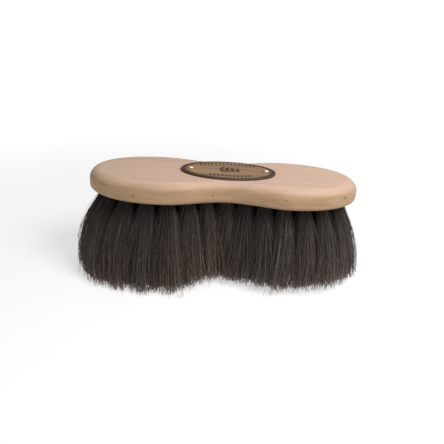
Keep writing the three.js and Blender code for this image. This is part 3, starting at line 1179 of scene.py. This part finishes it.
brass = make_metal("polished_brass", (0.92, 0.74, 0.55), 0.50, (500.0, 500.0, 500.0))
for name, place in zip(NAILS, nail_places):
    low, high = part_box(name)
    radius = (high.x - low.x) / 2
    head_bottom = badge_high.z + HEAD_GAP
    dome = high.z - head_bottom
    under_head = head_bottom - 0.02 * MM
    profile = [(POINT, low.z), (SHANK, low.z + 2 * SHANK), (SHANK, under_head)]
    profile += [(radius * LIP_INSET, under_head), (radius, head_bottom + HEAD_LIP)]
    for step in range(2, DOME_STEPS + 1):
        angle = step / (DOME_STEPS + 0.5) * math.pi / 2
        profile.append((radius * math.cos(angle), head_bottom + dome * math.sin(angle)))
    nail = turned(name.replace("badge_nail", "brass_nail"), profile, place[0], place[1])
    nail.data.materials.append(brass)
    nail.data.shade_smooth()
    nail.data.set_sharp_from_angle(angle=NAIL_SHARP_EDGE)
    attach(nail, "root")
    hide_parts(name)
    print(nail.name, "head", round(2 * radius / MM, 2), "mm across")

# %% [markdown]
# ## Camera
#
# The brush is seen from in front and above, turned a little so that its left end is nearer, and the picture
# leans slightly clockwise. The camera's place is worked out from those angles and its distance from the
# middle of the block's underside.

# %% Camera
TURN = math.radians(5.6)
HEIGHT_ANGLE = math.radians(24.7)
LEAN = math.radians(4.67)
DISTANCE = 0.350
ASIDE = -2.3 * MM
BELOW = -23.2 * MM
LENS = 36.25

outwards = math.cos(HEIGHT_ANGLE)
away = Vector((math.sin(TURN) * outwards, math.cos(TURN) * outwards, -math.sin(HEIGHT_ANGLE)))
level = Vector((math.cos(TURN), -math.sin(TURN), 0))
upright_axis = level.cross(away)
right = level * math.cos(LEAN) + upright_axis * math.sin(LEAN)
up = upright_axis * math.cos(LEAN) - level * math.sin(LEAN)
camera_data = bpy.data.cameras.new("camera")
camera_data.lens = LENS
camera_data.sensor_width = 36
camera = bpy.data.objects.new("camera", camera_data)
scene.collection.objects.link(camera)
place = Vector((0, 0, underside)) - away * DISTANCE + right * ASIDE + up * BELOW
camera.matrix_world = Matrix.Translation(place) @ Matrix((right, up, -away)).transposed().to_4x4()
scene.camera = camera
print("camera at", [round(v, 3) for v in place])

# %% [markdown]
# ## Floor
#
# The brush stands on a plain pale floor that should look white without glaring. A white floor would throw so
# much light back that the dark hair turned grey, so this one is grey and glows by itself. The glow grows
# with the distance from the brush, until floor and surround are one white.

# %% Floor
FLOOR_GREY = (0.42, 0.42, 0.42, 1)
GLOW_STARTS, GLOW_FULL = 0.15, 0.7
NEAR_GLOW, FAR_GLOW = 0.61, 0.97


def make_floor():
    bpy.ops.mesh.primitive_plane_add(size=60.0, location=(0, 0, 0))
    floor = bpy.context.object
    floor.name = "floor"
    material, tree, shader, coordinates = new_material("pale_floor")
    shader.inputs["Base Color"].default_value = FLOOR_GREY
    shader.inputs["Roughness"].default_value = 0.9
    shader.inputs["Emission Color"].default_value = (1, 1, 1, 1)
    from_brush = length_of(tree, coordinates)
    glow = map_range(tree, from_brush, (GLOW_STARTS, GLOW_FULL), (NEAR_GLOW, FAR_GLOW), "SMOOTHSTEP")
    tree.links.new(glow, shader.inputs["Emission Strength"])
    floor.data.materials.append(material)
    floor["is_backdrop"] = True


make_floor()
print("floor glow from", NEAR_GLOW, "to", FAR_GLOW)

# %% [markdown]
# ## Light
#
# One soft lamp from the right, in front and above shapes the rounded edge and brings out the hair. The
# surround is white where the camera sees it and lights the brush only weakly. The Light Path node tells the
# two apart: a ray that comes straight from the camera gets the bright value, and all others the weak one.

# %% Lights
SURROUND_LIGHT, SURROUND_SEEN = 0.30, 1.1
LAMP_PLACE = (0.24, -0.24, 0.50)
LAMP_SIZE = 0.26
LAMP_POWER = 3.15


def soft_lamp(name, place, size, power, target=(0, 0, 0.04)):
    data = bpy.data.lights.new(name, "AREA")
    data.size = size
    data.energy = power
    lamp = bpy.data.objects.new(name, data)
    scene.collection.objects.link(lamp)
    lamp.location = place
    lamp.rotation_euler = (Vector(target) - Vector(place)).to_track_quat("-Z", "Y").to_euler()


soft_lamp("key_lamp", LAMP_PLACE, LAMP_SIZE, LAMP_POWER)
world = bpy.data.worlds.new("surround")
scene.world = world
world.use_nodes = True
surround = world.node_tree
background = surround.nodes["Background"]
background.inputs["Color"].default_value = (1, 1, 1, 1)
seen = add(surround, "ShaderNodeLightPath").outputs["Is Camera Ray"]
strength = mix_floats(surround, seen, SURROUND_LIGHT, SURROUND_SEEN)
surround.links.new(strength, background.inputs["Strength"])
scene.view_settings.view_transform = "Standard"
print("lamp of", LAMP_POWER, "W at", LAMP_PLACE)

# %% Finish
new_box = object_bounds()
for name, box in (("CAD box", cad_box), ("visual box", new_box)):
    print(name, [[round(value, 4) for value in corner] for corner in box])
